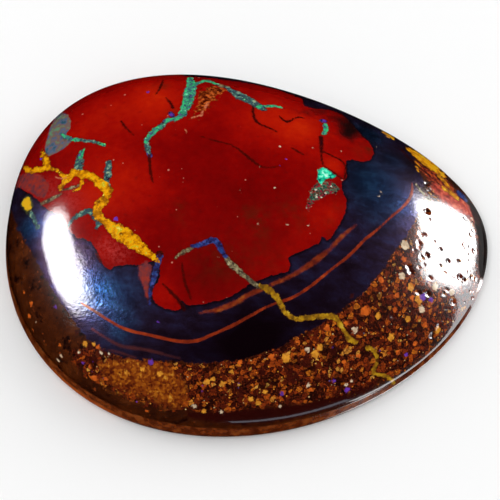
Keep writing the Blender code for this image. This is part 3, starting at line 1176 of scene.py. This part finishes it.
# %% Yellow opal, brighter where the vein is wide
honey_cell = channel(grains(0.24, 61.0)["Color"], 0)
honey_flow = maths("MULTIPLY_ADD", clouds(0.5, 62.0, 4.0, 0.6), 1.3, -0.35)
honey = maths("MULTIPLY_ADD", honey_cell, 0.20, honey_flow)
wide = stretch(field("yellow"), 0.05, 0.35)
yellow_play = maths("MULTIPLY_ADD", wide, 0.14, maths("MULTIPLY_ADD", honey, 1.1, -0.02))
yellow_opal = ramp(
    yellow_play,
    (0.20, seen(120, 70, 4)), (0.36, seen(182, 110, 0)), (0.50, seen(222, 148, 0)), (0.62, seen(242, 172, 4)),
    (0.74, seen(190, 176, 26)), (0.88, seen(250, 226, 90)),
)
amber_opal = ramp(
    honey,
    (0.16, seen(84, 56, 8)), (0.40, seen(150, 104, 6)), (0.60, seen(186, 142, 14)),
    (0.84, seen(216, 186, 70)),
)

told("yellow opal")

# %% All veins, each with a thin dark rim
for name, opal, soft, ragged, size, seed in (
    ("grey", grey_opal, 0.05, 0.07, 0.25, 32.0),
    ("blue", blue_opal, 0.05, 0.06, 0.25, 34.0),
    ("teal", teal_opal, 0.05, 0.11, 0.34, 33.0),
    ("yellow", yellow_opal, 0.04, 0.16, 0.42, 35.0),
    ("amber", amber_opal, 0.04, 0.09, 0.30, 63.0),
    ("green", green_opal, 0.03, 0.13, 0.36, 36.0),
):
    rim = mask_of(name, 0.06, ragged, size, seed, grow=0.06)
    colour = paint(colour, seen(52, 8, 4), maths("MULTIPLY", rim, 0.5))
    inside = mask_of(name, soft, ragged, size, seed)
    colour = paint(colour, opal, inside)
    metal = blend(metal, 0.0, inside)
told("veins")

# %% Bright edges and glints in the veins
near_edge = maths("MULTIPLY", stretch(field("green"), 0.20, 0.06), stretch(clouds(0.4, 66.0), 0.48, 0.58))
near_edge = maths("MULTIPLY", near_edge, mask_of("green", 0.02, grow=-0.02))
colour = paint(colour, seen(50, 206, 122), maths("MULTIPLY", near_edge, 0.7))
green_glints = ((0.0, seen(10, 190, 120)), (0.5, seen(60, 240, 140)), (1.0, seen(170, 255, 120)))
lit = scattered(0.25, 52.0, 0.22, 0.14, 0.34, green_glints, colour)
colour = paint(colour, lit, maths("MAXIMUM", mask_of("green", 0.02), mask_of("teal", 0.02, grow=-0.14)))
yellow_glints = ((0.0, seen(255, 206, 20)), (0.6, seen(250, 240, 90)), (1.0, seen(150, 220, 60)))
lit = scattered(0.34, 53.0, 0.22, 0.12, 0.30, yellow_glints, colour)
colour = paint(colour, lit, mask_of("yellow", 0.02, grow=-0.05))
told("glints")

# %% Emerald patch and the mottled scar
emerald_play = maths("MULTIPLY_ADD", field("emerald"), 0.9, maths("MULTIPLY", play, 0.85))
emerald_opal = ramp(
    emerald_play,
    (0.10, seen(8, 46, 56)), (0.34, seen(8, 104, 96)), (0.54, seen(24, 190, 146)), (0.74, seen(70, 240, 190)),
    (0.95, seen(200, 255, 236)),
)
scar_cell = channel(grains(0.13, 37.0)["Color"], 1)
scar_colour = ramp(
    scar_cell,
    (0.05, seen(16, 24, 28)), (0.25, seen(34, 84, 72)), (0.42, seen(90, 44, 30)), (0.58, seen(150, 16, 50)),
    (0.74, seen(60, 126, 96)), (0.90, seen(90, 74, 60)), (1.0, seen(220, 214, 190)),
)
scar_cover = stretch(clouds(0.25, 54.0, 4.0, 0.7), 0.34, 0.48)
colour = paint(colour, scar_colour, maths("MULTIPLY", mask_of("scar", 0.06, 0.10, 0.25, 38.0), scar_cover))
colour = paint(colour, emerald_opal, mask_of("emerald", 0.04, 0.06, 0.2, 39.0))
told("emerald and scar")

# %% Cracks and pale traces
crack_colour = ramp(stretch(field("crack"), 0.06, 0.15), (0.0, seen(66, 5, 2)), (1.0, seen(14, 5, 14)))
colour = paint(colour, crack_colour, maths("MULTIPLY", mask_of("crack", 0.06, 0.05, 0.2, 40.0), 0.94))
in_trace = mask_of("trace", 0.05, 0.05, 0.2, 41.0)
colour = paint(colour, seen(206, 120, 84), maths("MULTIPLY", in_trace, 0.8))
told("cracks")

# %% Grains that stand out
chips = stretch(channel(grains(0.20, 46.0)["Color"], 0), 0.1, 0.9, 0.55, 1.0)
for name, dark, light in (
    ("dark_grain", seen(30, 2, 1), seen(62, 12, 4)),
    ("gold_grain", seen(150, 74, 10), seen(234, 158, 44)),
    ("orange_grain", seen(140, 40, 4), seen(222, 104, 24)),
    ("pale_grain", seen(140, 96, 64), seen(236, 212, 178)),
    ("violet_grain", seen(40, 16, 80), seen(110, 56, 180)),
):
    inside = mask_of(name, 0.04, 0.10, 0.18, 46.0, grow=-0.03)
    colour = paint(colour, paint(dark, light, chips), maths("MULTIPLY", inside, 0.9))
    metal = blend(metal, 0.0, inside)
told("placed grains")

# %% The worn edge is painted dark, as painted shade beside the highlight
# Painted shade: the rim at the narrow end is coloured near black beside the bright highlight
painted_dark_rim = maths("MULTIPLY", stretch(field("worn_and_painted_dark"), 0.04, 0.16), 0.95)
colour = paint(colour, seen(18, 9, 8), painted_dark_rim)
told("worn edge")

# %% [markdown]
# ### The flat back and the foot
#
# The back was sawn, not polished: plain brown ironstone with faint arcs from the saw. The colour
# changes where the stone's height falls to nothing.

# %% Sawn back
on_sawn_back = stretch(field("height"), 0.06, 0.01)
saw_arcs = clouds(0.35, 42.0, 2.0, 0.5, (1, 0.04, 1))
sawn = ramp(
    maths("MULTIPLY_ADD", saw_arcs, 0.4, maths("MULTIPLY", slow, 0.6)),
    (0.3, seen(56, 30, 18)), (0.5, seen(84, 50, 30)), (0.7, seen(122, 84, 54)),
)
colour = paint(colour, sawn, on_sawn_back)
metal = blend(metal, 0.0, on_sawn_back)
told("sawn back")

# %% Fine relief
def ripples(depth, *pattern):
    """Fine relief of a depth in mm, level on average, so that it leaves no step at an edge."""
    return maths("MULTIPLY_ADD", clouds(*pattern), depth, -depth / 2)


relief = ripples(0.0022, 0.30, 43.0, 3.0)
on_coarse_sand = stretch(field("coarse_sand"), 0.0, 0.2)
relief = maths("MULTIPLY_ADD", on_coarse_sand, ripples(0.0045, 0.22, 47.0, 2.0), relief)
relief = maths("MULTIPLY_ADD", on_sawn_back, ripples(0.05, 0.35, 42.0, 2.0, 0.5, (1, 0.04, 1)), relief)
crinkled = maths("MULTIPLY", field("crinkled"), stretch(field("red"), 0.1, -0.1, 0.3, 1.0), clamp=True)
crinkles = maths("MULTIPLY", crinkled, ripples(1.0, 0.30, 64.0, 3.0, 0.65, (1, 1.5, 1)))


def bumped(crinkle_depth):
    """The slope that the relief gives the surface; the potch has crinkles of a depth in mm."""
    made = tree.nodes.new("ShaderNodeBump")
    made.inputs["Distance"].default_value = MM
    wire(maths("MULTIPLY_ADD", crinkles, crinkle_depth, relief), made.inputs["Height"])
    return made.outputs["Normal"]


told("relief")

# %% Polish
SAND_ROUGHNESS, RED_ROUGHNESS, POTCH_ROUGHNESS = 0.24, 0.14, 0.27
WORN_ROUGHNESS, SAWN_ROUGHNESS = 0.85, 0.62
CRINKLES_INSIDE, CRINKLES_ON_TOP = 0.036, 0.012

roughness = blend(blend(SAND_ROUGHNESS, RED_ROUGHNESS, in_red), POTCH_ROUGHNESS, metal)
is_worn = stretch(field("worn_and_painted_dark"), 0.02, 0.12)
roughness = blend(roughness, WORN_ROUGHNESS, is_worn)
roughness = blend(roughness, SAWN_ROUGHNESS, on_sawn_back)
wire(colour, shader.inputs["Base Color"])
wire(metal, shader.inputs["Metallic"])
wire(roughness, shader.inputs["Roughness"])
wire(blend(1.0, 0.0, maths("MAXIMUM", on_sawn_back, is_worn)), shader.inputs["Coat Weight"])
wire(bumped(CRINKLES_INSIDE), shader.inputs["Normal"])
wire(bumped(CRINKLES_ON_TOP), shader.inputs["Coat Normal"])
shader.inputs["Specular IOR Level"].default_value = 0.15
shader.inputs["Coat Roughness"].default_value = 0.03
shader.inputs["Coat IOR"].default_value = 1.5
mesh.materials.clear()
mesh.materials.append(finish)
print("finish:", len(tree.nodes), "nodes")

# %% The stone takes its place
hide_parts("opal_cabochon")
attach(stone, "root")
print("the stone replaces the plain solid")

# %% [markdown]
# ## Floor and light
#
# A pale floor and a pale surround give soft light from everywhere. Two soft boxes, left and right
# and a little behind, make the two highlights that show the dome's shape. Two low strips draw
# the line where the dome turns into the girdle, and a third, still lower, lights the girdle
# towards the narrow end. A polished stone mirrors
# all that is bright, so the floor and the surround are kept out of its reflections, as a
# photographer would hang black cloth round the table.

# %% Floor
bpy.ops.mesh.primitive_plane_add(size=2.0, location=(0, 0, -0.01 * MM))
floor = bpy.context.object
floor.name = "pale_floor"
floor.visible_glossy = False
pale = bpy.data.materials.new("pale_floor")
pale.use_nodes = True
pale_shader = pale.node_tree.nodes["Principled BSDF"]
pale_shader.inputs["Base Color"].default_value = (0.95, 0.95, 0.95, 1)
pale_shader.inputs["Roughness"].default_value = 0.9
floor.data.materials.append(pale)
print("floor:", floor.name)

# %% Surround
SURROUND_BRIGHTNESS = 0.78
world = bpy.data.worlds.new("pale_surround")
world.use_nodes = True
world.node_tree.nodes["Background"].inputs["Color"].default_value = (1, 1, 1, 1)
world.node_tree.nodes["Background"].inputs["Strength"].default_value = SURROUND_BRIGHTNESS
world.cycles_visibility.glossy = False
bpy.context.scene.world = world
bpy.context.scene.view_settings.view_transform = "Standard"
print("surround:", SURROUND_BRIGHTNESS)

# %% How a lamp is placed and softened
BOX_DISTANCE = 0.5
STONE_MIDDLE = Vector((0, 0, HEIGHT / 2))


def lamp_at(name, azimuth, elevation, roll, wide, tall, brightness, mirrored):
    """An area lamp that faces the stone; place, turn and size are angles seen from the stone."""
    azimuth, elevation = math.radians(azimuth), math.radians(elevation)
    towards = Vector((
        math.cos(azimuth) * math.cos(elevation), math.sin(azimuth) * math.cos(elevation), math.sin(elevation)
    ))
    bpy.ops.object.light_add(type="AREA", location=STONE_MIDDLE + towards * BOX_DISTANCE)
    lamp = bpy.context.object
    lamp.name = name
    facing = towards.to_track_quat("Z", "Y")
    facing.rotate(Quaternion(towards, math.radians(roll)))
    lamp.rotation_euler = facing.to_euler()
    lamp.data.shape = "RECTANGLE"
    lamp.data.size = 2 * BOX_DISTANCE * math.tan(math.radians(wide / 2))
    lamp.data.size_y = 2 * BOX_DISTANCE * math.tan(math.radians(tall / 2))
    lamp.data.energy = brightness * math.pi * lamp.data.size * lamp.data.size_y
    lamp.visible_camera = False
    lamp.visible_glossy = mirrored
    lamp.visible_diffuse = not mirrored
    print(f"{name}: {lamp.data.energy:.0f} watts")
    return lamp


def soften(lamp, share):
    """Lets a lamp fade towards its edges and rounds its corners, like cloth over a soft box."""
    lamp.data.use_nodes = True
    nodes, links = lamp.data.node_tree.nodes, lamp.data.node_tree.links
    across = nodes.new("ShaderNodeSeparateXYZ")
    links.new(nodes.new("ShaderNodeNewGeometry").outputs["Parametric"], across.inputs[0])
    powers = []
    for axis in range(2):
        centred = nodes.new("ShaderNodeMath")
        centred.operation = "MULTIPLY_ADD"
        links.new(across.outputs[axis], centred.inputs[0])
        centred.inputs[1].default_value = 2
        centred.inputs[2].default_value = -1
        size = nodes.new("ShaderNodeMath")
        size.operation = "ABSOLUTE"
        links.new(centred.outputs[0], size.inputs[0])
        power = nodes.new("ShaderNodeMath")
        power.operation = "POWER"
        links.new(size.outputs[0], power.inputs[0])
        power.inputs[1].default_value = 3
        powers.append(power.outputs[0])
    total = nodes.new("ShaderNodeMath")
    for value, target in zip(powers, total.inputs):
        links.new(value, target)
    fade = nodes.new("ShaderNodeMapRange")
    fade.interpolation_type = "SMOOTHSTEP"
    links.new(total.outputs[0], fade.inputs["Value"])
    fade.inputs["From Min"].default_value = 1 - share
    fade.inputs["From Max"].default_value = 1
    fade.inputs["To Min"].default_value = 1
    fade.inputs["To Max"].default_value = 0
    links.new(fade.outputs["Result"], nodes["Emission"].inputs["Strength"])


# %% Soft boxes and strips
FADING_SHARE = 0.8
COOL, NEARLY_WHITE = (0.72, 0.84, 1.0), (0.94, 0.97, 1.0)

soften(lamp_at("left_highlight", 172.6, 40.2, 27.0, 39, 21, 26, True), FADING_SHARE)
soften(lamp_at("right_highlight", 29.0, 10.5, -14.0, 49, 27, 30, True), FADING_SHARE)
lamp_at("front_strip", -62, -17, 17, 36, 6, 1.6, True).data.color = COOL
lamp_at("corner_strip", -14, -11, 27, 62, 12, 6, True).data.color = NEARLY_WHITE
lamp_at("wall_strip", 2, -60, 0, 50, 14, 5, True)
lamp_at("left_light", 168, 40, 0, 40, 40, 1.5, False)
lamp_at("right_light", 29, 30, 0, 40, 40, 1.5, False)

# %% The end of the scene
print("scene built")
